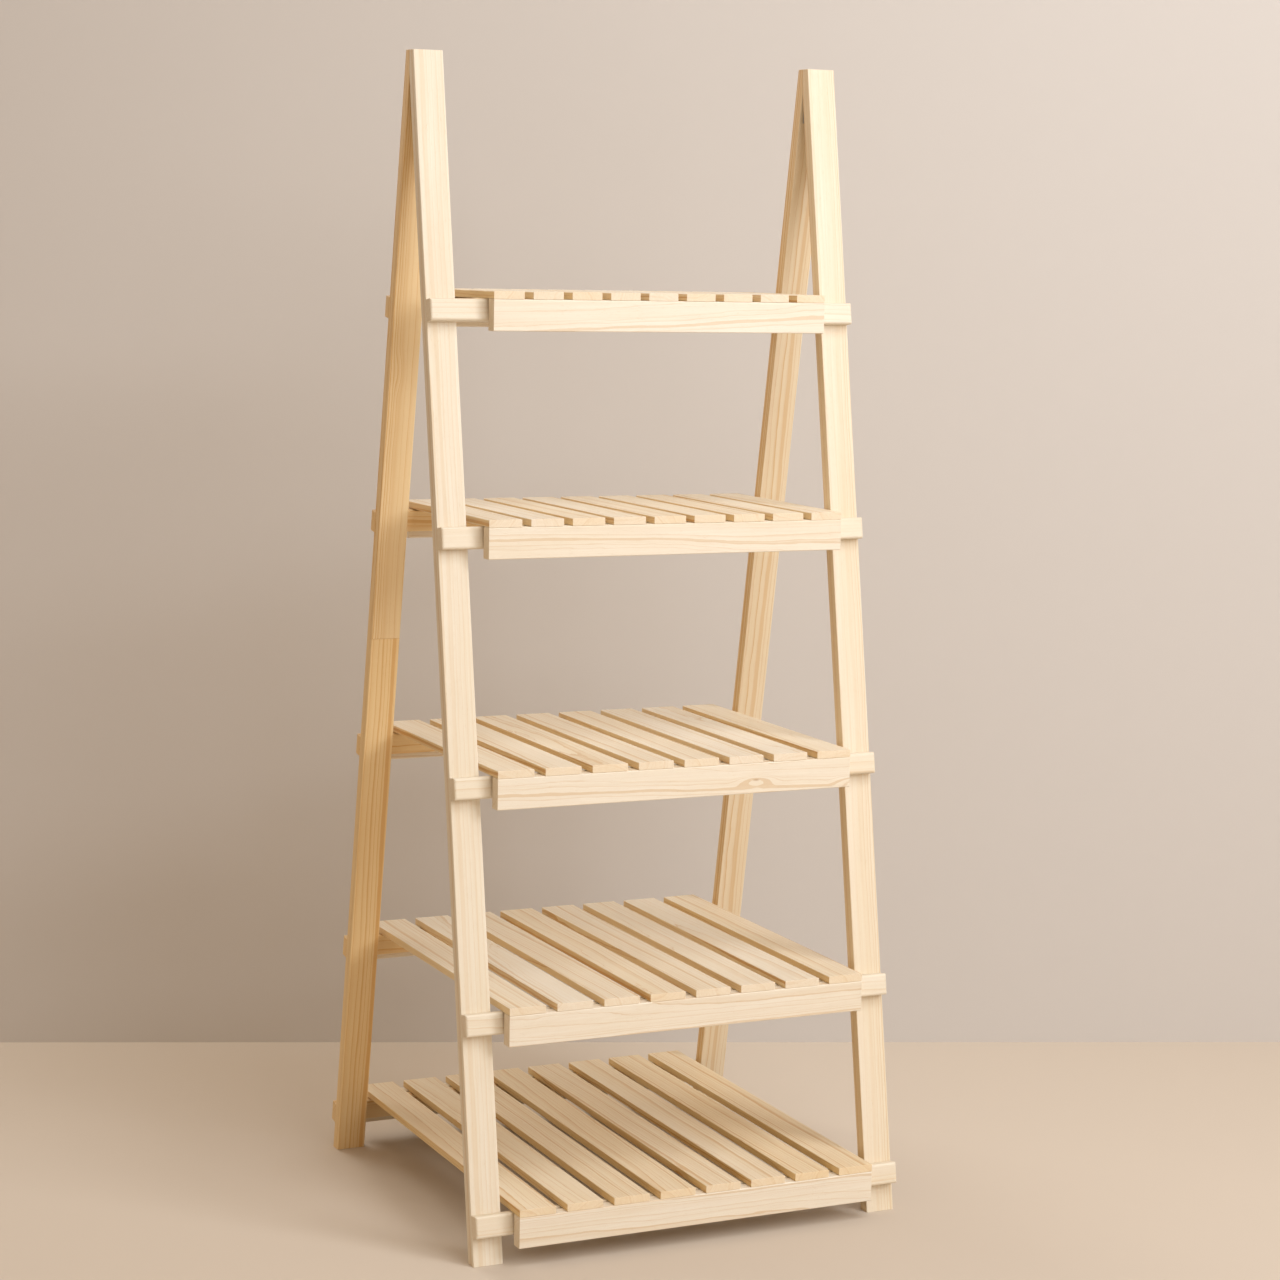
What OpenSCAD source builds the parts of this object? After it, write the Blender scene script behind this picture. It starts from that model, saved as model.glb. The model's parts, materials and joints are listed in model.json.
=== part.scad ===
// Folding ladder shelf: two hinged frames of two legs and five crosspieces carry five lift-off slatted shelves.
// Origin on the floor midway between the feet. +X runs along the shelves, -Y is the front, +Z is up.

/* [Frame] */
// Height of the folding frame
height = 1500; // [1450:5:1600]
// Width over the legs and crosspieces
frame_w = 600; // [590:5:700]
// Depth over the feet, front to back
base_depth = 530; // [500:5:560]
// Depth of the flat cut across the top of each pair of legs
top_depth = 26; // [24:1:28]
// Height of the butt joint in the rear left leg
splice_z = 740; // [640:5:800]

/* [Boards] */
// Width of a leg, seen from the front
leg_w = 40; // [38:1:44]
// Thickness of a leg
leg_t = 18; // [18:1:20]
// Height of a crosspiece
rail_h = 28; // [26:1:32]
// Thickness of a crosspiece
rail_t = 15; // [14:1:18]
// Height of the apron under each shelf end
apron_h = 40; // [38:1:46]
// Thickness of an apron
apron_t = 18; // [16:1:20]
// Thickness of a slat
slat_t = 10; // [9:1:12]
// Rounding of the crosspieces' outer edges
rail_round = 3.5; // [2:0.5:5]
// Easing of the other long edges
ease = 1.5; // [1:0.5:2]

/* [Shelves] */
// Height of each shelf's top face, from the top shelf down
shelf_top = [1202, 920, 612, 322, 76];
// Width of each shelf
shelf_w = [470, 500, 500, 500, 500];
// Number of slats in each shelf
slat_count = [9, 9, 8, 8, 8];
// Gap between the slats of each shelf
slat_gap = [12, 12, 15, 15, 15];
// Sideways place of each shelf between the legs
shelf_x = [12, 5, 0, 0, 0];

/* [Hinges] */
// Width of a hinge leaf, along the pin
leaf_w = 30; // [26:1:32]
// Length of a hinge leaf, down the leg
leaf_len = 40; // [36:1:46]
// Thickness of a hinge leaf
leaf_t = 1.5; // [1.2:0.1:1.6]
// Radius of the hinge barrel
barrel_r = 3; // [2.8:0.1:3.4]
// Radius of the hinge pin
pin_r = 1.5; // [1.3:0.1:1.6]
// Length of a hinge screw
screw_len = 14; // [12:1:15]

/* [Hidden] */
$fn = 48;
shelves = [0 : 4];
half_depth = base_depth / 2;
half_top = top_depth / 2;
lean = atan((half_depth - half_top) / height);
leg_x = (frame_w - leg_w) / 2;
// Distance up the leg from the floor to the fold axis, where the two inner faces meet
fold_up = (half_depth - leg_t * cos(lean)) / sin(lean);
// How far a cutter runs past the face it cuts
past = 1;
skin = 0.01;
mitre_gap = 0.3;
rest_gap = 0.2;
back_ease = 1;
hook_gap = 0.5;
dowel_clear = 0.05;
end_clear = 0.2;
rail_dowel_r = 3;
rail_dowel_span = 14;
rail_dowel_in = 10;
leg_dowel_in = 12;
slat_dowel_in = 6;
apron_dowel_in = 16;
splice_dowel_r = 4;
splice_dowel_len = 60;
splice_dowel_span = 18;
knuckle_w = 10;
knuckle_gap = 0.3;
barrel_clear = 0.4;
pin_clear = 0.1;
screw_r = 1.5;
screw_head_r = 3;
screw_tip_r = 0.2;
screw_clear = 0.05;
screw_places = [[-9, 13], [9, 13], [0, 30]];
slot_w = 0.8;
slot_deep = 0.7;
pine = "#f3e2c0";
pale_pine = "#f7e9cd";
beech = "#e3c08c";
zinc = "#c3c6c8";
steel = "#a7abb0";

// Underside of the slats of shelf k
function under(k) = shelf_top[k] - slat_t;

// Distance up the leg to the top of crosspiece k, whose rounded edge carries the slats
function rail_up(k) =
    (under(k) - rest_gap - rail_round - (rail_t - rail_round) * sin(lean)) / cos(lean) + rail_round;

// Inner face of the aprons of shelf k, just clear of the crosspiece's lower edge
function apron_in(k) =
    half_depth + (rail_t - rail_round) * cos(lean) - (rail_up(k) - rail_h + rail_round) * sin(lean)
    + rail_round + hook_gap;

function apron_out(k) = apron_in(k) + apron_t;

function slat_w(k) = (shelf_w[k] - (slat_count[k] - 1) * slat_gap[k]) / slat_count[k];

function slat_x(k, i) = shelf_x[k] - shelf_w[k] / 2 + slat_w(k) / 2 + i * (slat_w(k) + slat_gap[k]);

// Places its children on the front frame: Z up the leg, Y inward from the leg's outer face
module on_front() {
    translate([0, -half_depth, 0])
        rotate([-lean, 0, 0])
            children();
}

// Mirrors its children from the front frame to the rear one
module rear() {
    mirror([0, 1, 0])
        children();
}

module on_rear() {
    rear()
        on_front()
            children();
}

// Section from the origin to [w, h] with rounded corners, r on the near side and r2 on the far side of Y
module eased_section(w, h, r, r2) {
    translate([r, r])
        circle(r);
    translate([w - r, r])
        circle(r);
    translate([r2, h - r2])
        circle(r2);
    translate([w - r2, h - r2])
        circle(r2);
    translate([r, 0])
        square([w - 2 * r, h / 2]);
    translate([r2, h / 2])
        square([w - 2 * r2, h / 2]);
    translate([0, r])
        square([w, h - r - r2]);
}

// Round hole or dowel along Y, from y0 to y1
module along_y(r, y0, y1) {
    translate([0, y0, 0])
        rotate([-90, 0, 0])
            cylinder(r = r, h = y1 - y0);
}

// Round bar along X, centred on the origin
module along_x(r, len) {
    rotate([0, 90, 0])
        cylinder(r = r, h = len, center = true);
}

// Axes of the dowels that hold the crosspieces on the legs, seen on the front frame
module rail_dowel_axes(side) {
    for (k = shelves, end = [-1, 1])
        translate([side * leg_x, 0, rail_up(k) - rail_h / 2 + end * rail_dowel_span / 2])
            children();
}

// Seat of a hinge leaf, its barrel and its screws, at the fold axis
module hinge_seat(side) {
    translate([side * leg_x, leg_t, fold_up]) {
        translate([-leaf_w / 2, -leaf_t, -leaf_len])
            cube([leaf_w, leaf_t + past, leaf_len]);
        along_x(barrel_r + barrel_clear, leaf_w + 2 * barrel_clear);
        for (place = screw_places)
            translate([place[0], 0, -place[1]])
                along_y(screw_r + screw_clear, -screw_len - end_clear, 0);
    }
}

// Shape of a leg of the front frame, between the floor, the top cut and the mitre
module leg_shape(side) {
    difference() {
        intersection() {
            on_front()
                translate([side * leg_x - leg_w / 2, 0, -leg_t])
                    linear_extrude(height / cos(lean) + 2 * leg_t)
                        eased_section(leg_w, leg_t, ease, ease);
            translate([-frame_w, -base_depth, 0])
                cube([2 * frame_w, base_depth - mitre_gap / 2, height]);
        }
        on_front() {
            rail_dowel_axes(side)
                along_y(rail_dowel_r + dowel_clear, -past, leg_dowel_in + end_clear);
            hinge_seat(side);
        }
    }
}

module leg(side) {
    color(pine)
        leg_shape(side);
}

// Half space above or below the butt joint of the rear left leg, square to the leg
module splice_part(part) {
    on_rear()
        translate([-frame_w, -leg_t, splice_z / cos(lean) + (part > 0 ? 0 : -2 * height)])
            cube([2 * frame_w, 3 * leg_t, 2 * height]);
}

module splice_dowels(r, len) {
    on_rear()
        for (x = [-1, 1])
            translate([-leg_x + x * splice_dowel_span / 2, leg_t / 2, splice_z / cos(lean)])
                cylinder(r = r, h = len, center = true);
}

module leg_dowels() {
    color(beech)
        splice_dowels(splice_dowel_r, splice_dowel_len);
}

module rear_left_leg(part) {
    color(pine)
        difference() {
            intersection() {
                rear()
                    leg_shape(-1);
                splice_part(part);
            }
            splice_dowels(splice_dowel_r + dowel_clear, splice_dowel_len + 2 * end_clear);
        }
}

// Crosspiece k of the front frame, along X on the legs' outer faces, its outer face rounded on all four edges
module crosspiece(k) {
    color(pine)
        on_front()
            difference() {
                translate([-frame_w / 2, 0, rail_up(k)])
                    intersection() {
                        rotate([0, 90, 0])
                            linear_extrude(frame_w)
                                mirror([0, 1])
                                    eased_section(rail_h, rail_t, back_ease, rail_round);
                        translate([0, 0, -rail_h - past])
                            linear_extrude(rail_h + 2 * past)
                                mirror([0, 1])
                                    eased_section(frame_w, rail_t, back_ease, rail_round);
                    }
                for (side = [-1, 1])
                    rail_dowel_axes(side)
                        along_y(rail_dowel_r + dowel_clear, -rail_dowel_in - end_clear, past);
            }
}

module frame_dowels() {
    color(beech)
        on_front()
            for (side = [-1, 1])
                rail_dowel_axes(side)
                    along_y(rail_dowel_r, -rail_dowel_in, leg_dowel_in);
}

// Front apron of shelf k, hanging upright in front of the crosspiece
module apron(k) {
    color(pale_pine)
        difference() {
            translate([shelf_x[k] - shelf_w[k] / 2, -apron_out(k), under(k) - apron_h])
                rotate([90, 0, 90])
                    linear_extrude(shelf_w[k])
                        eased_section(apron_t, apron_h, ease, ease);
            shelf_dowel_axes(k, [-1])
                translate([0, 0, -apron_dowel_in - end_clear])
                    cylinder(r = rail_dowel_r + dowel_clear, h = apron_dowel_in + past);
        }
}

module shelf_dowel_axes(k, ends) {
    for (i = [0 : slat_count[k] - 1], end = ends)
        translate([slat_x(k, i), end * (apron_in(k) + apron_t / 2), under(k)])
            children();
}

module slats(k) {
    color(pale_pine)
        difference() {
            for (i = [0 : slat_count[k] - 1])
                translate([slat_x(k, i) - slat_w(k) / 2, apron_out(k), under(k)])
                    rotate([90, 0, 0])
                        linear_extrude(2 * apron_out(k))
                            eased_section(slat_w(k), slat_t, ease, ease);
            shelf_dowel_axes(k, [-1, 1])
                translate([0, 0, -past])
                    cylinder(r = rail_dowel_r + dowel_clear, h = past + slat_dowel_in + end_clear);
        }
}

module shelf_dowels(k) {
    color(beech)
        shelf_dowel_axes(k, [-1, 1])
            translate([0, 0, -apron_dowel_in])
                cylinder(r = rail_dowel_r, h = apron_dowel_in + slat_dowel_in);
}

// Hinge leaf on the front frame. Its knuckles are the middle one, or the two outer ones for the mating leaf
module hinge_leaf(side, outer) {
    color(zinc)
        on_front()
            translate([side * leg_x, leg_t, fold_up])
                difference() {
                    union() {
                        translate([-leaf_w / 2, -leaf_t, -leaf_len])
                            cube([leaf_w, leaf_t, leaf_len]);
                        along_x(barrel_r, leaf_w);
                    }
                    // Room for the mating leaf's knuckles
                    for (x = outer ? [0] : [-knuckle_w, knuckle_w])
                        translate([x, 0, 0])
                            along_x(barrel_r + barrel_clear, knuckle_w + knuckle_gap);
                    along_x(pin_r + pin_clear, leaf_w + 2 * past);
                    for (place = screw_places)
                        translate([place[0], -leaf_t, -place[1]])
                            rotate([-90, 0, 0])
                                screw_cone(screw_clear);
                }
}

// Countersink through the leaf, widening toward the leaf's open face
module screw_cone(grow) {
    translate([0, 0, -skin])
        cylinder(r1 = screw_r + grow, r2 = screw_head_r + grow, h = leaf_t + skin);
}

module hinge_pin(side) {
    color(steel)
        on_front()
            translate([side * leg_x, leg_t, fold_up])
                along_x(pin_r, leaf_w);
}

// Countersunk screws of the front frame's two leaves
module screws() {
    color(steel)
        on_front()
            for (side = [-1, 1], place = screw_places)
                translate([side * leg_x + place[0], leg_t, fold_up - place[1]])
                    screw();
}

// One screw, its head flush at the origin and its point toward -Y
module screw() {
    rotate([90, 0, 0])
        difference() {
            union() {
                cylinder(r1 = screw_head_r, r2 = screw_r, h = leaf_t);
                translate([0, 0, leaf_t])
                    cylinder(r = screw_r, h = screw_len - leaf_t - 2 * screw_r);
                translate([0, 0, screw_len - 2 * screw_r])
                    cylinder(r1 = screw_r, r2 = screw_tip_r, h = 2 * screw_r);
            }
            for (turn = [0, 90])
                rotate([0, 0, turn])
                    translate([-screw_head_r / 2, -slot_w / 2, -past])
                        cube([screw_head_r, slot_w, past + slot_deep]);
        }
}

leg(-1);  // front_left_leg
leg(1);  // front_right_leg
rear_left_leg(1);  // rear_left_leg_upper
rear_left_leg(-1);  // rear_left_leg_lower
rear() leg(1);  // rear_right_leg
for (k = shelves) {
    crosspiece(k);
    rear() crosspiece(k);
    apron(k);
    rear() apron(k);
    slats(k);
    shelf_dowels(k);
}
frame_dowels();  // front_frame_dowels
rear() frame_dowels();  // rear_frame_dowels
leg_dowels();  // rear_left_leg_dowels
hinge_leaf(-1, false);  // front_hinge_leaf_left
hinge_leaf(1, false);  // front_hinge_leaf_right
rear() hinge_leaf(-1, true);  // rear_hinge_leaf_left
rear() hinge_leaf(1, true);  // rear_hinge_leaf_right
hinge_pin(-1);  // hinge_pin_left
hinge_pin(1);  // hinge_pin_right
screws();  // front_hinge_screws
rear() screws();  // rear_hinge_screws
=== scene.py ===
import json
import math
import random

import bpy
from mathutils import Matrix, Vector


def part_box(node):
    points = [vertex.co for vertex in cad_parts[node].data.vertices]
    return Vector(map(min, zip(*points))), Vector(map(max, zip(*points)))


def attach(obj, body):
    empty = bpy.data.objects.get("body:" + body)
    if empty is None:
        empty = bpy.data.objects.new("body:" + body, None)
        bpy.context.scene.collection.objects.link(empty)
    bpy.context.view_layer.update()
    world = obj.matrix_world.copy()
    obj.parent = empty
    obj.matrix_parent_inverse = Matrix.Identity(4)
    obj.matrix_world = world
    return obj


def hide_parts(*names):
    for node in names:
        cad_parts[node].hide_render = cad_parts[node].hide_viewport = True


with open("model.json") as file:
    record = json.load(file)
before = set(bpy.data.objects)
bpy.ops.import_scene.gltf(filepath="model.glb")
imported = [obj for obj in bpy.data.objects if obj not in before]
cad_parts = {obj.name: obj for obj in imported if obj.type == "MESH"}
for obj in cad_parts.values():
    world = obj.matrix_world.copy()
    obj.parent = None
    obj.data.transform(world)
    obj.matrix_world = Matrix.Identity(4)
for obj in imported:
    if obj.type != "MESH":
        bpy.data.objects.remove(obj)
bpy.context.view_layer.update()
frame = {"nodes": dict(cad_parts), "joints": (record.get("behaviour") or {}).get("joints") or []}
print("packed ladder shelf loaded")

mm = 0.001

# camera, light and floor

cameraSetup = {
    "place": (-1.599, -3.467, 1.252),
    "turn": math.radians(-25.25),
    "down": math.radians(7.62),
    "roll": math.radians(1.15),
    "lens": 81.25,
    "sensor": 36,
}

studio = {
    "floorSize": 16.0,
    "floor": (0.62, 0.545, 0.465),
    "wall": (0.615, 0.59, 0.572),
    "wallAway": 4.5,  # from the camera
    "wallTurn": math.radians(4.3),  # levels the wall's foot against the camera's roll
    "wallHalf": 6.0,
    "paint": {"Roughness": 0.8, "Specular IOR Level": 0.2},
    "room": (1.0, 0.72, 0.46),
    "roomPower": 0.50,
    # name: place, aim, size, power, colour
    "lights": {
        "keyLight": ((2.0, -3.3, 2.3), (0, 0, 0.8), 1.5, 60, (0.97, 0.98, 1.0)),
        "topLight": ((0.5, -2.1, 3.3), (0, 0, 0.3), 2.2, 58, (0.92, 0.965, 1.0)),
        "frontLight": ((0.6, -4.0, 1.3), (0, 0, 0.5), 2.0, 14, (1.0, 0.98, 0.95)),
        "backLight": ((-1.0, 3.4, 3.0), (0, 0, 0.8), 2.5, 56, (1.0, 0.97, 0.90)),
    },
}


def setCamera(setup):
    bpy.ops.object.camera_add(location=setup["place"])
    camera = bpy.context.object
    turn = Matrix.Rotation(setup["turn"], 3, "Z")
    tip = Matrix.Rotation(math.pi / 2 - setup["down"], 3, "X")
    roll = Matrix.Rotation(setup["roll"], 3, "Z")
    camera.rotation_euler = (turn @ tip @ roll).to_euler()
    camera.data.sensor_width = setup["sensor"]
    camera.data.lens = setup["lens"]
    bpy.context.scene.camera = camera


def hangLight(name, place, aim, size, power, colour):
    bpy.ops.object.light_add(type="AREA", location=place)
    lamp = bpy.context.object
    lamp.name = name
    lamp.rotation_euler = (Vector(aim) - Vector(place)).to_track_quat("-Z", "Y").to_euler()
    lamp.data.shape = "DISK"
    lamp.data.size = size
    lamp.data.energy = power
    lamp.data.color = colour


def plainPaint(name, colour, oneSided=False):
    paint = bpy.data.materials.new(name)
    paint.use_nodes = True
    tree = paint.node_tree
    shader = tree.nodes["Principled BSDF"]
    shader.inputs["Base Color"].default_value = (*colour, 1)
    for socket, value in studio["paint"].items():
        shader.inputs[socket].default_value = value
    if oneSided:  # seen only from the front, so the rear views look through it
        back = tree.nodes.new("ShaderNodeNewGeometry")
        clear = tree.nodes.new("ShaderNodeBsdfTransparent")
        mix = tree.nodes.new("ShaderNodeMixShader")
        tree.links.new(back.outputs["Backfacing"], mix.inputs[0])
        tree.links.new(shader.outputs[0], mix.inputs[1])
        tree.links.new(clear.outputs[0], mix.inputs[2])
        tree.links.new(mix.outputs[0], tree.nodes["Material Output"].inputs["Surface"])
    return paint


def setStage(setup):
    bpy.ops.mesh.primitive_plane_add(size=setup["floorSize"], location=(0, 0, 0))
    floor = bpy.context.object
    floor.name = "floor"
    floor.data.materials.append(plainPaint("floorPaint", setup["floor"]))

    heading = cameraSetup["turn"]
    away = setup["wallAway"]
    x = cameraSetup["place"][0] - away * math.sin(heading)
    y = cameraSetup["place"][1] + away * math.cos(heading)
    bpy.ops.mesh.primitive_plane_add(
        size=2 * setup["wallHalf"], location=(x, y, setup["wallHalf"]),
        rotation=(math.pi / 2, 0, heading + setup["wallTurn"]),
    )
    wall = bpy.context.object
    wall.name = "backdrop"
    wall.data.materials.append(plainPaint("wallPaint", setup["wall"], oneSided=True))
    wall.visible_shadow = False

    world = bpy.data.worlds.new("studio")
    world.use_nodes = True
    room = world.node_tree.nodes["Background"]
    room.inputs["Color"].default_value = (*setup["room"], 1)
    room.inputs["Strength"].default_value = setup["roomPower"]
    bpy.context.scene.world = world
    for name, (place, aim, size, power, colour) in setup["lights"].items():
        hangLight(name, place, aim, size, power, colour)
    bpy.context.scene.view_settings.view_transform = "Standard"


setCamera(cameraSetup)
setStage(studio)
print("camera, floor and lights set")

# shader node groups


def newGroup(name, inputs, outputs):
    group = bpy.data.node_groups.new(name, "ShaderNodeTree")
    for label, kind, start in inputs:
        socket = group.interface.new_socket(name=label, in_out="INPUT", socket_type=kind)
        if start is not None:
            socket.default_value = start
    for label, kind in outputs:
        group.interface.new_socket(name=label, in_out="OUTPUT", socket_type=kind)
    return group, group.nodes.new("NodeGroupInput"), group.nodes.new("NodeGroupOutput")


def plug(tree, value, socket):
    # Joins a socket, or sets a plain value.
    if isinstance(value, bpy.types.NodeSocket):
        tree.links.new(value, socket)
    else:
        socket.default_value = value


def sums(tree, operation, *values, clamp=False):
    node = tree.nodes.new("ShaderNodeMath")
    node.operation = operation
    node.use_clamp = clamp
    for value, socket in zip(values, node.inputs):
        plug(tree, value, socket)
    return node.outputs[0]


def spread(tree, value, low, high, newLow=0.0, newHigh=1.0, smooth=True):
    # Maps low..high onto newLow..newHigh, clamped.
    node = tree.nodes.new("ShaderNodeMapRange")
    node.interpolation_type = "SMOOTHSTEP" if smooth else "LINEAR"
    for value, socket in zip((value, low, high, newLow, newHigh), node.inputs):
        plug(tree, value, socket)
    return node.outputs[0]


def stretched(tree, vector, scale, shift=(0, 0, 0)):
    node = tree.nodes.new("ShaderNodeMapping")
    plug(tree, vector, node.inputs["Vector"])
    node.inputs["Location"].default_value = shift
    node.inputs["Scale"].default_value = scale
    return node.outputs[0]


def noise(tree, vector, detail=2.0, rough=0.5):
    node = tree.nodes.new("ShaderNodeTexNoise")
    plug(tree, vector, node.inputs["Vector"])
    node.inputs["Scale"].default_value = 1
    node.inputs["Detail"].default_value = detail
    node.inputs["Roughness"].default_value = rough
    return node.outputs["Fac"]


def blend(tree, amount, first, second, kind="MIX"):
    node = tree.nodes.new("ShaderNodeMix")
    node.data_type = "RGBA"
    node.blend_type = kind
    for value, socket in ((amount, node.inputs[0]), (first, node.inputs[6]), (second, node.inputs[7])):
        plug(tree, value, socket)
    return node.outputs[2]


# how the rings wander and where knots stand: scales per millimetre along, across and through the log
ringFigure = {
    "slow": (0.0035, 0.02, 0.02),
    "slowTimes": 4,  # the slow wander against the quick one
    "quick": (0.022, 0.11, 0.11),
    "quickShift": (40, 0, 0),
    "knotCells": (0.007, 0.022, 0.022),
    "knotless": 0.9,  # of the cells
    "knotReach": 0.3,  # of a cell
    "knotHeart": (0.03, 0.06),
    "knotSwell": 7.0,
    "years": 0.13,  # per millimetre of radius
    "yearsSwing": 14,  # millimetres, between wide and narrow years
    "share": (0.06, 0.3),  # of a ring that is late wood: least and most
    "solid": 0.6,  # of the late wood has its full colour
    "lead": 3.5,  # how many of those shares before its end a ring starts to darken
    "leadDepth": 0.3,  # how dark it is where the late wood starts
    "faintest": 0.35,  # strength of the faintest year
}


def ringGroup(figure):
    # Growth rings round the pith. Place is in millimetres: X along the grain, and the pith at Y = Z = 0.
    group, given, result = newGroup(
        "growthRings",
        [
            ("Place", "NodeSocketVector", None),
            ("Side", "NodeSocketVector", None),
            ("Spacing", "NodeSocketFloat", 5.5),
            ("Width", "NodeSocketFloat", 1.3),
            ("Waver", "NodeSocketFloat", 3.0),
            ("Knotless", "NodeSocketFloat", figure["knotless"]),
        ],
        [("Line", "NodeSocketFloat"), ("Band", "NodeSocketFloat"), ("Knot", "NodeSocketFloat")],
    )
    place, spacing, waver = (given.outputs[name] for name in ("Place", "Spacing", "Waver"))
    apart = group.nodes.new("ShaderNodeSeparateXYZ")
    plug(group, place, apart.inputs[0])
    acrossY, acrossZ = apart.outputs["Y"], apart.outputs["Z"]
    squares = sums(group, "ADD", sums(group, "POWER", acrossY, 2), sums(group, "POWER", acrossZ, 2))
    pithAway = sums(group, "SQRT", squares)
    slow = sums(group, "SUBTRACT", noise(group, stretched(group, place, figure["slow"]), 1), 0.5)
    quickPlace = stretched(group, place, figure["quick"], figure["quickShift"])
    quick = sums(group, "SUBTRACT", noise(group, quickPlace, 2), 0.5)
    bend = sums(
        group, "ADD",
        sums(group, "MULTIPLY", slow, sums(group, "MULTIPLY", waver, figure["slowTimes"])),
        sums(group, "MULTIPLY", quick, waver),
    )
    # a few small knots, which the rings bend round
    cell = group.nodes.new("ShaderNodeTexVoronoi")
    plug(group, stretched(group, place, figure["knotCells"]), cell.inputs["Vector"])
    cell.inputs["Scale"].default_value = 1
    pick = group.nodes.new("ShaderNodeSeparateColor")
    plug(group, cell.outputs["Color"], pick.inputs[0])
    chosen = sums(group, "GREATER_THAN", pick.outputs[0], given.outputs["Knotless"])
    reach = spread(group, cell.outputs["Distance"], 0.0, figure["knotReach"], 1.0, 0.0)
    near = sums(group, "MULTIPLY", reach, chosen)
    middle = spread(group, cell.outputs["Distance"], *figure["knotHeart"], 1.0, 0.0)
    heart = sums(group, "MULTIPLY", middle, chosen)
    swell = sums(group, "MULTIPLY", near, figure["knotSwell"])
    radius = sums(group, "ADD", sums(group, "ADD", pithAway, bend), swell)
    # wide and narrow years
    years = group.nodes.new("ShaderNodeTexNoise")
    years.noise_dimensions = "1D"
    plug(group, sums(group, "MULTIPLY", radius, figure["years"]), years.inputs["W"])
    years.inputs["Scale"].default_value = 1
    years.inputs["Detail"].default_value = 1
    swing = sums(group, "SUBTRACT", years.outputs["Fac"], 0.5)
    uneven = sums(group, "MULTIPLY", swing, figure["yearsSwing"])
    count = sums(group, "DIVIDE", sums(group, "ADD", radius, uneven), spacing)
    year = group.nodes.new("ShaderNodeTexWhiteNoise")
    year.noise_dimensions = "1D"
    plug(group, sums(group, "FLOOR", count), year.inputs["W"])
    # late wood is a thin line on either face, however the rings meet it
    side = group.nodes.new("ShaderNodeSeparateXYZ")
    plug(group, given.outputs["Side"], side.inputs[0])
    sideY, sideZ = (sums(group, "ABSOLUTE", side.outputs[axis]) for axis in "YZ")
    meet = group.nodes.new("ShaderNodeMix")
    plug(group, sums(group, "GREATER_THAN", sideZ, sideY), meet.inputs[0])
    plug(group, sums(group, "ABSOLUTE", acrossZ), meet.inputs[2])
    plug(group, sums(group, "ABSOLUTE", acrossY), meet.inputs[3])
    slope = sums(group, "DIVIDE", meet.outputs[0], pithAway)
    share = sums(group, "DIVIDE", sums(group, "MULTIPLY", slope, given.outputs["Width"]), spacing)
    least, most = figure["share"]
    share = sums(group, "MINIMUM", sums(group, "MAXIMUM", share, least), most)
    part = sums(group, "FRACT", count)
    start = sums(group, "SUBTRACT", 1, share)
    full = sums(group, "SUBTRACT", 1, sums(group, "MULTIPLY", share, figure["solid"]))
    lead = sums(group, "SUBTRACT", 1, sums(group, "MULTIPLY", share, figure["lead"]))
    line = spread(group, part, start, full)
    before = spread(group, part, lead, start, 0, figure["leadDepth"])
    strength = spread(group, year.outputs["Value"], 0, 1, figure["faintest"], 1.0, smooth=False)
    drawn = sums(group, "MULTIPLY", sums(group, "MAXIMUM", line, before), strength)
    plug(group, drawn, result.inputs["Line"])
    plug(group, year.outputs["Value"], result.inputs["Band"])
    plug(group, heart, result.inputs["Knot"])
    return group


# mask: scale per millimetre, shift, detail, roughness, the range that shows, smoothed or not
fibreFigure = {
    "Streak": ((0.006, 0.33, 0.33), (0, 0, 0), 5, 0.65, (0.32, 0.68), False),
    "Fleck": ((0.14, 2.1, 2.1), (9, 0, 0), 1, 0.5, (0.66, 0.76), True),
    "Cloud": ((0.0028, 0.03, 0.03), (0, 7, 0), 2, 0.5, (0.3, 0.7), False),
}


def fibreGroup(figure):
    # Fine fibres, short resin flecks and slow clouds along the grain.
    group, given, result = newGroup(
        "woodFibre",
        [("Place", "NodeSocketVector", None), ("Fineness", "NodeSocketFloat", 1.0)],
        [(mask, "NodeSocketFloat") for mask in figure],
    )
    finer = group.nodes.new("ShaderNodeVectorMath")
    finer.operation = "SCALE"
    plug(group, given.outputs["Place"], finer.inputs[0])
    plug(group, given.outputs["Fineness"], finer.inputs["Scale"])
    for mask, (scale, shift, detail, rough, shown, smooth) in figure.items():
        grown = noise(group, stretched(group, finer.outputs[0], scale, shift), detail, rough)
        plug(group, spread(group, grown, *shown, smooth=smooth), result.inputs[mask])
    return group


sandedAndHighlightFigure = {
    "reach": 2.4 * mm,
    "patch": (0.03, 0.3, 0.3),  # scale per millimetre
    "patchRange": (0.3, 0.7),
    "patchShare": (0.5, 1.0),
}


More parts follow.
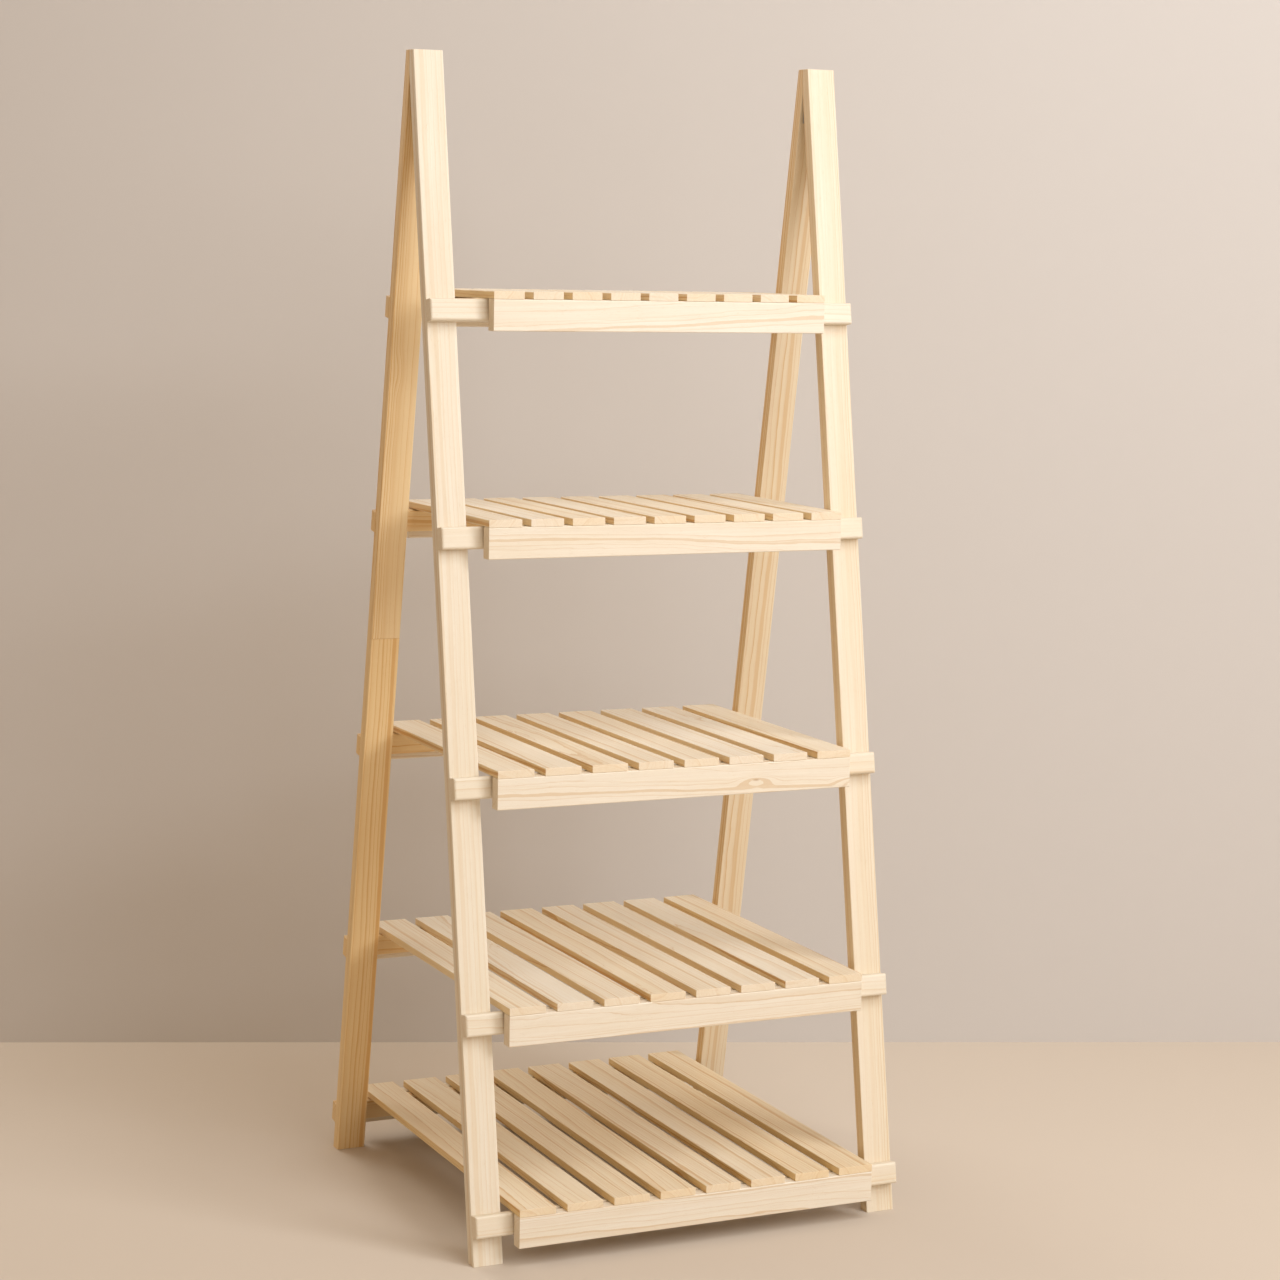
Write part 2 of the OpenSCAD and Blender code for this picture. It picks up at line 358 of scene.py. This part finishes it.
def edgeGroup(figure):
    # How near a point is to a long edge of its board, from the board's own side and half size, in noise
    # patches. The pine lightens this mask partly as sanding wear and partly as a painted highlight.
    group, given, result = newGroup(
        "sandedEdge",
        [
            ("Side", "NodeSocketVector", None),
            ("Half", "NodeSocketVector", None),
            ("Reach", "NodeSocketFloat", figure["reach"]),
            ("Place", "NodeSocketVector", None),
        ],
        [("Edge", "NodeSocketFloat")],
    )
    side = group.nodes.new("ShaderNodeSeparateXYZ")
    half = group.nodes.new("ShaderNodeSeparateXYZ")
    plug(group, given.outputs["Side"], side.inputs[0])
    plug(group, given.outputs["Half"], half.inputs[0])
    gaps = []
    for axis in "YZ":
        inside = sums(group, "SUBTRACT", 1, sums(group, "ABSOLUTE", side.outputs[axis]))
        gaps.append(sums(group, "MULTIPLY", inside, half.outputs[axis]))
    worn = noise(group, stretched(group, given.outputs["Place"], figure["patch"]), 2)
    patch = spread(group, worn, *figure["patchRange"], *figure["patchShare"])
    edge = spread(group, sums(group, "MAXIMUM", *gaps), 0.0, given.outputs["Reach"], 1.0, 0.0)
    plug(group, sums(group, "MULTIPLY", edge, patch), result.inputs["Edge"])
    return group


platedFigure = {
    "bloom": (0.35, 0.35, 0.35),  # scale per millimetre
    "scuff": (1.3, 0.25, 0.6),
    "scuffShift": (5, 0, 0),
    "scuffRange": (0.6, 0.75),
    "bloomRough": 0.7,
    "scuffRough": 0.5,
    "roughRange": (0.2, 0.8),
    "relief": 0.00002,
}


def platedGroup(figure):
    # Rolled and plated steel: fine draw lines, a faint bloom and a few scuffs. Place is in millimetres.
    group, given, result = newGroup(
        "platedSteel",
        [("Place", "NodeSocketVector", None), ("Draw", "NodeSocketVector", (0.2, 9.0, 9.0))],
        [("Shade", "NodeSocketFloat"), ("Rough", "NodeSocketFloat"), ("Height", "NodeSocketFloat")],
    )
    place = given.outputs["Place"]
    lines = group.nodes.new("ShaderNodeVectorMath")
    lines.operation = "MULTIPLY"
    plug(group, place, lines.inputs[0])
    plug(group, given.outputs["Draw"], lines.inputs[1])
    drawn = noise(group, lines.outputs[0], 3, 0.6)
    bloom = noise(group, stretched(group, place, figure["bloom"]), 3)
    marks = noise(group, stretched(group, place, figure["scuff"], figure["scuffShift"]), 2)
    scuff = spread(group, marks, *figure["scuffRange"])
    bloomRough = sums(group, "MULTIPLY", bloom, figure["bloomRough"])
    scuffRough = sums(group, "MULTIPLY", scuff, figure["scuffRough"])
    shade = sums(group, "MULTIPLY", sums(group, "ADD", drawn, bloom), 0.5)
    plug(group, shade, result.inputs["Shade"])
    plug(group, sums(group, "ADD", bloomRough, scuffRough), result.inputs["Rough"])
    plug(group, drawn, result.inputs["Height"])
    return group


rings, fibre = ringGroup(ringFigure), fibreGroup(fibreFigure)
sandedAndHighlight, plated = edgeGroup(sandedAndHighlightFigure), platedGroup(platedFigure)

# materials


def placeGroup(tree, group, **values):
    node = tree.nodes.new("ShaderNodeGroup")
    node.node_tree = group
    for name, value in values.items():
        plug(tree, value, node.inputs[name])
    return node.outputs


def attribute(tree, name, vector=True):
    node = tree.nodes.new("ShaderNodeAttribute")
    node.attribute_name = name
    return node.outputs["Vector" if vector else "Fac"]


def newMaterial(name):
    material = bpy.data.materials.new(name)
    material.use_nodes = True
    return material, material.node_tree, material.node_tree.nodes["Principled BSDF"]


def relief(tree, shader, height, depth):
    bump = tree.nodes.new("ShaderNodeBump")
    bump.inputs["Strength"].default_value = 1
    bump.inputs["Distance"].default_value = depth
    plug(tree, height, bump.inputs["Height"])
    plug(tree, bump.outputs[0], shader.inputs["Normal"])


# how strongly each layer shows on any pine board
pineFigure = {
    "cloud": 0.6,
    "band": 0.30,
    "streak": 0.16,
    "pores": (0.25, 0.6),  # on a face and on a sawn end
    "sawn": 0.25,
    "endFade": 0.6,  # of the rings on a sawn end
    "knot": 0.75,
    # edge and its colour: sanded edges made lighter, partly as wear and partly as a painted highlight along
    # the eased edges
    "edge": 0.40,
    "edgeWearAndHighlightColour": (0.97, 0.91, 0.79),
    "specular": 0.4,
    "sawnRough": 0.2,
    "edgeSmooth": 0.06,
    "heights": (0.35, 0.8, 0.6),  # of the rings, of the pores and of the fibres, against a finish's relief
    "plainest": -0.5,  # a board's tone runs from here to 1
}

pineFrame = {
    "pale": (0.81, 0.76, 0.66),
    "honey": (0.76, 0.68, 0.53),
    "ripeAndShade": (1.05, 0.86, 0.56),  # what a darker board multiplies its colour by, also used to paint shade
    "ring": (0.62, 0.41, 0.18),
    "ringDepth": (0.22, 0.95),  # in a plain board and in a ripe one; painted shade in the tone deepens them too
    "end": (0.78, 0.62, 0.42),
    "knot": (0.42, 0.24, 0.11),
    "spacing": 6.8,
    "lineWidth": 1.6,
    "waver": 2.0,
    "rough": (0.42, 0.60),
    "relief": 0.00012,
}

pineShelf = {
    "pale": (0.85, 0.805, 0.715),
    "honey": (0.80, 0.72, 0.575),
    "ripeAndShade": (1.0, 0.83, 0.52),
    "ring": (0.60, 0.39, 0.18),
    "ringDepth": (0.40, 0.95),
    "end": (0.80, 0.65, 0.46),
    "knot": (0.42, 0.24, 0.11),
    "spacing": 5.6,
    "lineWidth": 1.25,
    "waver": 2.6,
    "rough": (0.42, 0.60),
    "relief": 0.00012,
}


def planedPine(name, looks, figure):
    material, tree, shader = newMaterial(name)
    place = attribute(tree, "grainPlace")
    side = attribute(tree, "boardSide")
    # the tone attribute holds each board's ripeness, chance and painted shade
    toneAndShade = attribute(tree, "boardTone", vector=False)
    sawn = attribute(tree, "endGrain", vector=False)
    ring = placeGroup(
        tree, rings, Place=place, Side=side,
        Spacing=looks["spacing"], Width=looks["lineWidth"], Waver=looks["waver"],
    )
    wood = placeGroup(tree, fibre, Place=place)
    edge = placeGroup(tree, sandedAndHighlight, Side=side, Half=attribute(tree, "boardHalf"), Place=place)["Edge"]

    ringDepth = spread(tree, toneAndShade, figure["plainest"], 1, *looks["ringDepth"], smooth=False)
    onEnd = sums(tree, "SUBTRACT", 1, sums(tree, "MULTIPLY", sawn, figure["endFade"]))
    ringShare = sums(tree, "MULTIPLY", ringDepth, onEnd)
    # each mask, how strongly it shows and its colour, from the lowest layer up
    layers = [
        (wood["Cloud"], figure["cloud"], looks["honey"]),
        (ring["Band"], figure["band"], looks["honey"]),
        (ring["Line"], ringShare, looks["ring"]),
        (wood["Streak"], figure["streak"], looks["ring"]),
        (wood["Fleck"], spread(tree, sawn, 0, 1, *figure["pores"]), looks["ring"]),
        (sawn, figure["sawn"], looks["end"]),
        (ring["Knot"], figure["knot"], looks["knot"]),
        # sanded edges, lighter partly from wear and partly as a painted highlight
        (edge, figure["edge"], figure["edgeWearAndHighlightColour"]),
    ]
    colour = (*looks["pale"], 1)
    for mask, share, tint in layers:
        colour = blend(tree, sums(tree, "MULTIPLY", mask, share), colour, (*tint, 1))
    # the tint toward the ripe colour: ripe wood, and painted shade on shaded boards and narrow sides
    colour = blend(tree, toneAndShade, colour, (*looks["ripeAndShade"], 1), "MULTIPLY")
    plug(tree, colour, shader.inputs["Base Color"])

    planed = spread(tree, wood["Streak"], 0, 1, *looks["rough"], smooth=False)
    sawnRough = sums(tree, "MULTIPLY", sawn, figure["sawnRough"])
    touched = sums(tree, "SUBTRACT", sawnRough, sums(tree, "MULTIPLY", edge, figure["edgeSmooth"]))
    plug(tree, sums(tree, "ADD", planed, touched, clamp=True), shader.inputs["Roughness"])
    shader.inputs["Specular IOR Level"].default_value = figure["specular"]

    raised, pitted, brushed = (
        sums(tree, "MULTIPLY", mask, depth)
        for mask, depth in zip((ring["Line"], wood["Fleck"], wood["Streak"]), figure["heights"])
    )
    height = sums(tree, "ADD", brushed, sums(tree, "SUBTRACT", raised, pitted))
    relief(tree, shader, height, looks["relief"])
    return material


def objectPlace(tree, turn=(0, 0, 0)):
    # Object coordinates in millimetres.
    coordinates = tree.nodes.new("ShaderNodeTexCoord")
    node = tree.nodes.new("ShaderNodeMapping")
    plug(tree, coordinates.outputs["Object"], node.inputs["Vector"])
    node.inputs["Rotation"].default_value = turn
    node.inputs["Scale"].default_value = (1000, 1000, 1000)
    return node.outputs[0]


beechDowels = {
    "pale": (0.66, 0.44, 0.26),
    "streak": (0.5, (0.52, 0.31, 0.17)),  # how strongly it shows and its colour
    "fleck": (0.6, (0.33, 0.17, 0.08)),
    "rough": (0.5, 0.7),
    "fineness": 1.6,  # against pine
    "relief": 0.0001,
}


def beech(name, looks):
    material, tree, shader = newMaterial(name)
    place = objectPlace(tree, (0, math.pi / 2, 0))
    wood = placeGroup(tree, fibre, Place=place, Fineness=looks["fineness"])
    colour = (*looks["pale"], 1)
    for mask, (share, tint) in ((wood["Streak"], looks["streak"]), (wood["Fleck"], looks["fleck"])):
        colour = blend(tree, sums(tree, "MULTIPLY", mask, share), colour, (*tint, 1))
    plug(tree, colour, shader.inputs["Base Color"])
    plug(tree, spread(tree, wood["Streak"], 0, 1, *looks["rough"], smooth=False), shader.inputs["Roughness"])
    relief(tree, shader, wood["Streak"], looks["relief"])
    return material


# name: dark and bright colour, smoothest and roughest, how finely the draw lines repeat along X, Y and Z
metals = {
    "zincPlate": ((0.50, 0.51, 0.53), (0.74, 0.75, 0.77), (0.28, 0.48), (0.2, 9.0, 9.0)),
    "drawnPin": ((0.42, 0.43, 0.45), (0.68, 0.69, 0.71), (0.18, 0.35), (0.1, 5.0, 5.0)),
    "platedScrew": ((0.46, 0.46, 0.46), (0.72, 0.71, 0.68), (0.25, 0.45), (4.0, 4.0, 0.5)),
}


def steel(name, dark, bright, rough, draw):
    material, tree, shader = newMaterial(name)
    metal = placeGroup(tree, plated, Place=objectPlace(tree), Draw=draw)
    plug(tree, blend(tree, metal["Shade"], (*dark, 1), (*bright, 1)), shader.inputs["Base Color"])
    dull = spread(tree, metal["Rough"], *platedFigure["roughRange"], *rough, smooth=False)
    plug(tree, dull, shader.inputs["Roughness"])
    shader.inputs["Metallic"].default_value = 1
    relief(tree, shader, metal["Height"], platedFigure["relief"])
    return material


finishes = {
    "pine_frame": planedPine("planedPineFrame", pineFrame, pineFigure),
    "pine_shelf": planedPine("planedPineShelf", pineShelf, pineFigure),
    "beech_dowel": beech("beechDowel", beechDowels),
    "zinc_hinge": steel("zincPlate", *metals["zincPlate"]),
    "steel_pin": steel("drawnPin", *metals["drawnPin"]),
    "steel_screw": steel("platedScrew", *metals["platedScrew"]),
}
print("finishes mixed")

# board making

alongAxis = 0.9  # a direction with this much of an axis in it runs along that axis
endSlope = 0.6  # a face whose normal has this much of the grain in it is end grain
sharpRim = math.radians(50)
logReach = 4000  # millimetres of log to saw from, either way
toneLuck = 0.25  # how much riper chance makes a board, at most


def alone(board):
    bpy.ops.object.select_all(action="DESELECT")
    board.select_set(True)
    bpy.context.view_layer.objects.active = board


def sawBoard(name, low, high):
    # A square board between two corners.
    bpy.ops.object.select_all(action="DESELECT")
    middle = (Vector(low) + Vector(high)) / 2
    bpy.ops.mesh.primitive_cube_add(size=1, location=middle, scale=Vector(high) - Vector(low))
    board = bpy.context.object
    board.name = board.data.name = name
    bpy.ops.object.transform_apply(location=True, rotation=True, scale=True)
    return board


def applyLast(board):
    alone(board)
    bpy.ops.object.modifier_apply(modifier=board.modifiers[-1].name)


def routEdges(board, radiusOf, segments=3):
    # Rounds each edge by radiusOf(middle, direction).
    mesh = board.data
    radii = []
    for edge in mesh.edges:
        start, end = (mesh.vertices[i].co for i in edge.vertices)
        radii.append(radiusOf((start + end) / 2, (end - start).normalized()))
    weights = mesh.attributes.new("bevel_weight_edge", "FLOAT", "EDGE")
    weights.data.foreach_set("value", [radius / max(radii) for radius in radii])
    router = board.modifiers.new("router", "BEVEL")
    router.limit_method = "WEIGHT"
    router.width = max(radii)
    router.segments = segments
    applyLast(board)


def sawOff(board, point, normal, rim=0):
    # Cuts the board, drops the side that the normal points to and breaks the new rim.
    alone(board)
    bpy.ops.object.mode_set(mode="EDIT")
    bpy.ops.mesh.select_all(action="SELECT")
    bpy.ops.mesh.bisect(plane_co=point, plane_no=normal, use_fill=True, clear_outer=True)
    if rim:
        bpy.ops.mesh.bevel(offset=rim, segments=2)
    bpy.ops.object.mode_set(mode="OBJECT")


def breakRims(board, width):
    # A small bevel round every sharp rim that a saw cut left.
    sander = board.modifiers.new("sander", "BEVEL")
    sander.limit_method = "ANGLE"
    sander.angle_limit = sharpRim
    sander.width = width
    sander.segments = 2
    applyLast(board)


def cutAway(board, cutter):
    cut = board.modifiers.new("cut", "BOOLEAN")
    cut.operation = "DIFFERENCE"
    cut.solver = "EXACT"
    cut.object = cutter
    applyLast(board)


def copyBoard(board, name, move):
    # A copy with its own mesh, moved by a matrix.
    alone(board)
    bpy.ops.object.duplicate(linked=False)
    twin = bpy.context.object
    twin.matrix_world = move @ twin.matrix_world
    bpy.ops.object.transform_apply(location=True, rotation=True, scale=True)
    twin.name = twin.data.name = name
    return twin


def dowelDrill(node, slack=0.05 * mm):
    # A cutter in the shape of a packed dowel set, a little fatter.
    drill = bpy.data.objects.new("drill", frame["nodes"][node].data.copy())
    bpy.context.scene.collection.objects.link(drill)
    alone(drill)
    bpy.ops.object.mode_set(mode="EDIT")
    bpy.ops.mesh.select_all(action="SELECT")
    bpy.ops.mesh.remove_doubles(threshold=0.01 * mm)
    bpy.ops.mesh.normals_make_consistent(inside=False)
    bpy.ops.transform.shrink_fatten(value=slack)
    bpy.ops.object.mode_set(mode="OBJECT")
    return drill


def boardSpace(centre, along, wide):
    # World to board: X along the grain, Y across the wide face and Z through the thickness.
    along, wide = Vector(along).normalized(), Vector(wide).normalized()
    return Matrix((along, wide, along.cross(wide))).to_4x4() @ Matrix.Translation(-Vector(centre))


def growGrain(board, space, grain, half, ripeAndShade=0):
    # Gives each point its place in the log that the board was sawn from, and each face its end-grain mark
    # and its tone, which carries painted shade on some boards.
    luck = random.Random(board.name)
    deep = luck.uniform(*grain["pith"])
    around = math.radians(luck.uniform(*grain["around"])) * luck.choice((-1, 1))
    heart = luck.choice((-1, 1))
    pithY, pithZ = deep * math.sin(around), heart * deep * math.cos(around)
    taperY, taperZ = (luck.uniform(-1, 1) * grain["taper"] for _ in "yz")
    log = luck.uniform(-logReach, logReach)
    # chance plus the given ripeness, which is partly painted shade on the rear boards and the bottom shelf
    toneAndShade = luck.uniform(0, toneLuck) + ripeAndShade
    mesh = board.data
    places, sides = [], []
    for vertex in mesh.vertices:
        x, y, z = space @ vertex.co
        sides += (x / half[0], y / half[1], z / half[2])
        x, y, z = x / mm, y / mm, z / mm
        places += (x + log, y - pithY + taperY * x, z - pithZ + taperZ * x)
    halves = list(half) * len(mesh.vertices)
    along, wide = space.to_3x3()[0], space.to_3x3()[1]
    ends = [1.0 if abs(face.normal.dot(along)) > endSlope else 0.0 for face in mesh.polygons]
    # the narrow sides get extra tone: painted shade
    tonesAndShade = [toneAndShade + grain["flankShade"] * (abs(face.normal.dot(wide)) > alongAxis) for face in mesh.polygons]
    for name, values in (("grainPlace", places), ("boardSide", sides), ("boardHalf", halves)):
        mesh.attributes.new(name, "FLOAT_VECTOR", "POINT").data.foreach_set("vector", values)
    for name, values in (("endGrain", ends), ("boardTone", tonesAndShade)):
        mesh.attributes.new(name, "FLOAT", "FACE").data.foreach_set("value", values)


def finishBoard(board, body, node, slot):
    if "bevel_weight_edge" in board.data.attributes:
        board.data.attributes.remove(board.data.attributes["bevel_weight_edge"])
    alone(board)
    bpy.ops.object.shade_smooth_by_angle(angle=sharpRim)
    board.modifiers.new("flatFaces", "WEIGHTED_NORMAL").keep_sharp = True
    applyLast(board)
    board.data.materials.append(finishes[slot])
    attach(board, body)
    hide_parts(node)


# legs

legs = {
    "wide": 40 * mm,
    "thick": 18 * mm,
    "ease": 1.5 * mm,
    "rim": 0.5 * mm,  # broken edge round the saw cuts
    "mitreGap": 0.15 * mm,  # from the mitre to the middle plane
    "spliceRim": 0.9 * mm,
    # how ripe each board is: -0.5 is pale and plain, 1 is dark with strong rings; the rear legs' darker tone
    # is partly painted shade
    "ripeAndShade": {
        "front_left_leg": -0.5,
        "rear_right_leg": 0.2,
        "rear_left_leg_upper": 0.8,
        "rear_left_leg_lower": 0.8,
    },
    # pith: how many millimetres off the log's heart is, around: its bearing in degrees,
    # taper: how far the log leans to the board, flank: how much riper and darker the narrow sides are
    # painted, as painted shade
    "grain": {"pith": (50, 90), "around": (25, 70), "taper": 0.006, "flankShade": 0.45},
}

hinges = {
    "leafWide": 30 * mm,
    "leafLong": 40 * mm,
    "leafThick": 1.5 * mm,
    "barrel": 3.4 * mm,  # with its clearance
    "barrelEnds": 0.8 * mm,  # how much longer the barrel's seat is than the leaf is wide
}

fold = next(joint for joint in frame["joints"] if joint["name"] == "frame_fold")
foldHigh = fold["pos_m"][2]
halfDeep = -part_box("front_left_leg")[0].y
lean = math.acos(legs["thick"] / math.hypot(halfDeep, foldHigh)) - math.atan2(foldHigh, halfDeep)
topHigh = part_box("front_left_leg")[1].z
legX = -(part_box("front_left_leg")[0].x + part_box("front_left_leg")[1].x) / 2
foldUp = (halfDeep - legs["thick"] * math.cos(lean)) / math.sin(lean)


def leaning(facing):
    # Space of a leaning frame: Z up its legs, Y toward the back. Facing is -1 in front and 1 behind.
    return Matrix.Translation((0, facing * halfDeep, 0)) @ Matrix.Rotation(facing * lean, 4, "X")


def hingeRouter():
    # Cutter for a hinge's seat in the front left leg: the leaf's recess and room for its barrel.
    x, y, z = -legX, legs["thick"], foldUp
    seat = sawBoard(
        "hingeSeat",
        (x - hinges["leafWide"] / 2, y - hinges["leafThick"], z - hinges["leafLong"]),
        (x + hinges["leafWide"] / 2, y + mm, z + mm),
    )
    bpy.ops.mesh.primitive_cylinder_add(
        vertices=48, radius=hinges["barrel"], depth=hinges["leafWide"] + hinges["barrelEnds"],
        location=(x, y, z), rotation=(0, math.pi / 2, 0),
    )
    barrel = bpy.context.object
    bpy.ops.object.transform_apply(location=True, rotation=True, scale=True)
    join = seat.modifiers.new("join", "BOOLEAN")
    join.operation = "UNION"
    join.object = barrel
    applyLast(seat)
    bpy.data.objects.remove(barrel)
    seat.matrix_world = leaning(-1)
    bpy.ops.object.transform_apply(location=True, rotation=True, scale=True)
    return seat


def frontLeftLeg():
    half = legs["wide"] / 2
    leg = sawBoard("front_left_leg_board", (-legX - half, 0, -2 * legs["thick"]),
                   (-legX + half, legs["thick"], topHigh / math.cos(lean) + 2 * legs["thick"]))
    routEdges(leg, lambda middle, way: legs["ease"] if abs(way.z) > alongAxis else 0)
    alone(leg)
    leg.matrix_world = leaning(-1)
    bpy.ops.object.transform_apply(location=True, rotation=True, scale=True)
    sawOff(leg, (0, 0, 0), (0, 0, -1))
    sawOff(leg, (0, 0, topHigh), (0, 0, 1))
    sawOff(leg, (0, -legs["mitreGap"], 0), (0, 1, 0))
    breakRims(leg, legs["rim"])
    seat = hingeRouter()
    cutAway(leg, seat)
    bpy.data.objects.remove(seat)
    return leg


def finishLeg(leg, node, side, facing, drill):
    cutAway(leg, drill)
    space = leaning(facing)
    turn = space.to_3x3()
    middle = space @ Vector((side * legX, -facing * legs["thick"] / 2, topHigh / 2))
    half = (topHigh / 2, legs["wide"] / 2, legs["thick"] / 2)
    grainSpace = boardSpace(middle, turn @ Vector((0, 0, 1)), (1, 0, 0))
    growGrain(leg, grainSpace, legs["grain"], half, legs["ripeAndShade"].get(node, 0))
    finishBoard(leg, "front_frame" if facing < 0 else "rear_frame", node, "pine_frame")


halfTurn = Matrix.Rotation(math.pi, 4, "Z")
across = Matrix.Translation((2 * legX, 0, 0))
frontDrill, rearDrill = dowelDrill("front_frame_dowels"), dowelDrill("rear_frame_dowels")
frontLeft = frontLeftLeg()
frontRight = copyBoard(frontLeft, "front_right_leg_board", across)
rearRight = copyBoard(frontLeft, "rear_right_leg_board", halfTurn)
rearLower = copyBoard(frontRight, "rear_left_leg_lower_board", halfTurn)

# the rear left leg is two lengths, butted and dowelled square to the leg
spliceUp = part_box("rear_left_leg_lower")[1].z / math.cos(lean)
splicePoint = leaning(1) @ Vector((0, 0, spliceUp))
upLeg = leaning(1).to_3x3() @ Vector((0, 0, 1))
rearUpper = copyBoard(rearLower, "rear_left_leg_upper_board", Matrix.Identity(4))
sawOff(rearLower, splicePoint, upLeg, legs["spliceRim"])
sawOff(rearUpper, splicePoint, -upLeg, legs["spliceRim"])
spliceDrill = dowelDrill("rear_left_leg_dowels")
for piece in (rearLower, rearUpper):
    cutAway(piece, spliceDrill)
bpy.data.objects.remove(spliceDrill)

finishLeg(frontLeft, "front_left_leg", -1, -1, frontDrill)
finishLeg(frontRight, "front_right_leg", 1, -1, frontDrill)
finishLeg(rearRight, "rear_right_leg", 1, 1, rearDrill)
finishLeg(rearLower, "rear_left_leg_lower", -1, 1, rearDrill)
finishLeg(rearUpper, "rear_left_leg_upper", -1, 1, rearDrill)
print("legs made")

# crosspieces

crosspieces = {
    "high": 28 * mm,
    "thick": 15 * mm,
    "round": 3.5 * mm,  # the outer face's edges, all round
    "ease": 1 * mm,
    # the rear crosspieces are painted darker and riper: painted shade under the slats
    "ripeAndShade": {"front": -0.3, "rear": 0.8},
    "grain": {"pith": (40, 80), "around": (15, 75), "taper": 0.012, "flankShade": 0},
}


def crosspieceMaster():
    # Front crosspiece with its top edge at zero, in the leaning frame's space.
    wide = -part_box("front_crosspiece_1")[0].x
    thick, high = crosspieces["thick"], crosspieces["high"]
    bar = sawBoard("crosspiece", (-wide, -thick, -high), (wide, 0, 0))

    def radius(middle, way):
        onOuterFace = middle.y < -thick + 0.1 * mm
        return crosspieces["round"] if onOuterFace and abs(way.y) < alongAxis else crosspieces["ease"]

    routEdges(bar, radius, segments=4)
    return bar


bar = crosspieceMaster()
rounded = crosspieces["thick"] - crosspieces["round"]
for number in range(1, 6):
    for facing, side in ((-1, "front"), (1, "rear")):
        node = f"{side}_crosspiece_{number}"
        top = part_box(node)[1].z
        up = (top - crosspieces["round"] - rounded * math.sin(lean)) / math.cos(lean) + crosspieces["round"]
        place = leaning(-1) @ Matrix.Translation((0, 0, up))
        if facing > 0:
            place = halfTurn @ place
        piece = copyBoard(bar, f"{node}_board", place)
        cutAway(piece, frontDrill if facing < 0 else rearDrill)
        space = leaning(facing)
        middle = space @ Vector((0, facing * crosspieces["thick"] / 2, up - crosspieces["high"] / 2))
        half = (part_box(node)[1].x, crosspieces["high"] / 2, crosspieces["thick"] / 2)
        grainSpace = boardSpace(middle, (1, 0, 0), space.to_3x3() @ Vector((0, 0, 1)))
        growGrain(piece, grainSpace, crosspieces["grain"], half, crosspieces["ripeAndShade"][side])
        finishBoard(piece, f"{side}_frame", node, "pine_frame")
for spare in (bar, frontDrill, rearDrill):
    bpy.data.objects.remove(spare)
print("crosspieces made")

# shelves

aprons = {
    "ease": 1.5 * mm,
    "rim": 0.6 * mm,
    "ripeAndShade": -0.35,
    "grain": {"pith": (48, 80), "around": (18, 50), "taper": 0.04, "flankShade": 0},
}

slats = {
    "counts": (9, 9, 8, 8, 8),
    "gaps": (12 * mm, 12 * mm, 15 * mm, 15 * mm, 15 * mm),
    "ripeAndShade": (0, 0, 0, 0, 0.3),  # the bottom shelf is painted riper and darker: painted shade under the shelves above
    "ease": 1.5 * mm,
    "rim": 0.5 * mm,
    "grain": {"pith": (32, 75), "around": (10, 75), "taper": 0.02, "flankShade": 0.7},
}


def apronBoard(number):
    low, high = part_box(f"shelf_{number}_front_apron")
    apron = sawBoard(f"shelf_{number}_front_apron_board", low, high)
    routEdges(apron, lambda middle, way: aprons["ease"] if abs(way.x) > alongAxis else aprons["rim"])
    return apron


def slatBoard(number):
    low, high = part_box(f"shelf_{number}_slats")
    count, gap = slats["counts"][number - 1], slats["gaps"][number - 1]
    wide = (high.x - low.x - (count - 1) * gap) / count
    slat = sawBoard(f"shelf_{number}_slat_1", low, (low.x + wide, high.y, high.z))
    routEdges(slat, lambda middle, way: slats["ease"] if abs(way.y) > alongAxis else slats["rim"])
    return [slat] + [
        copyBoard(slat, f"shelf_{number}_slat_{i + 1}", Matrix.Translation((i * (wide + gap), 0, 0)))
        for i in range(1, count)
    ]


for number in range(1, 6):
    drill = dowelDrill(f"shelf_{number}_dowels")
    frontApron = apronBoard(number)
    low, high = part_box(f"shelf_{number}_front_apron")
    back = Matrix.Translation((0, -low.y - high.y, 0))
    rearApron = copyBoard(frontApron, f"shelf_{number}_rear_apron_board", back)
    for apron, side in ((frontApron, "front"), (rearApron, "rear")):
        low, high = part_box(f"shelf_{number}_{side}_apron")
        half = (high - low) / 2
        cutAway(apron, drill)
        grainSpace = boardSpace((low + high) / 2, (1, 0, 0), (0, 0, 1))
        growGrain(apron, grainSpace, aprons["grain"], (half.x, half.z, half.y), aprons["ripeAndShade"])
        finishBoard(apron, f"shelf_{number}", f"shelf_{number}_{side}_apron", "pine_shelf")
    for slat in slatBoard(number):
        corners = [vertex.co for vertex in slat.data.vertices]
        low = Vector(min(corner[i] for corner in corners) for i in range(3))
        high = Vector(max(corner[i] for corner in corners) for i in range(3))
        half = (high - low) / 2
        cutAway(slat, drill)
        grainSpace = boardSpace((low + high) / 2, (0, 1, 0), (1, 0, 0))
        growGrain(slat, grainSpace, slats["grain"], (half.y, half.x, half.z), slats["ripeAndShade"][number - 1])
        finishBoard(slat, f"shelf_{number}", f"shelf_{number}_slats", "pine_shelf")
    bpy.data.objects.remove(drill)
    print(f"shelf {number} made")

# packed dowels and hinges

kept = {
    "beech_dowel": ["front_frame_dowels", "rear_frame_dowels", "rear_left_leg_dowels"]
    + [f"shelf_{number}_dowels" for number in range(1, 6)],
    "zinc_hinge": [f"{end}_hinge_leaf_{side}" for end in ("front", "rear") for side in ("left", "right")],
    "steel_pin": ["hinge_pin_left", "hinge_pin_right"],
    "steel_screw": ["front_hinge_screws", "rear_hinge_screws"],
}
for slot, nodes in kept.items():
    for node in nodes:
        packed = frame["nodes"][node]
        packed.data.materials.clear()
        packed.data.materials.append(finishes[slot])
print("dowels and hinges finished")
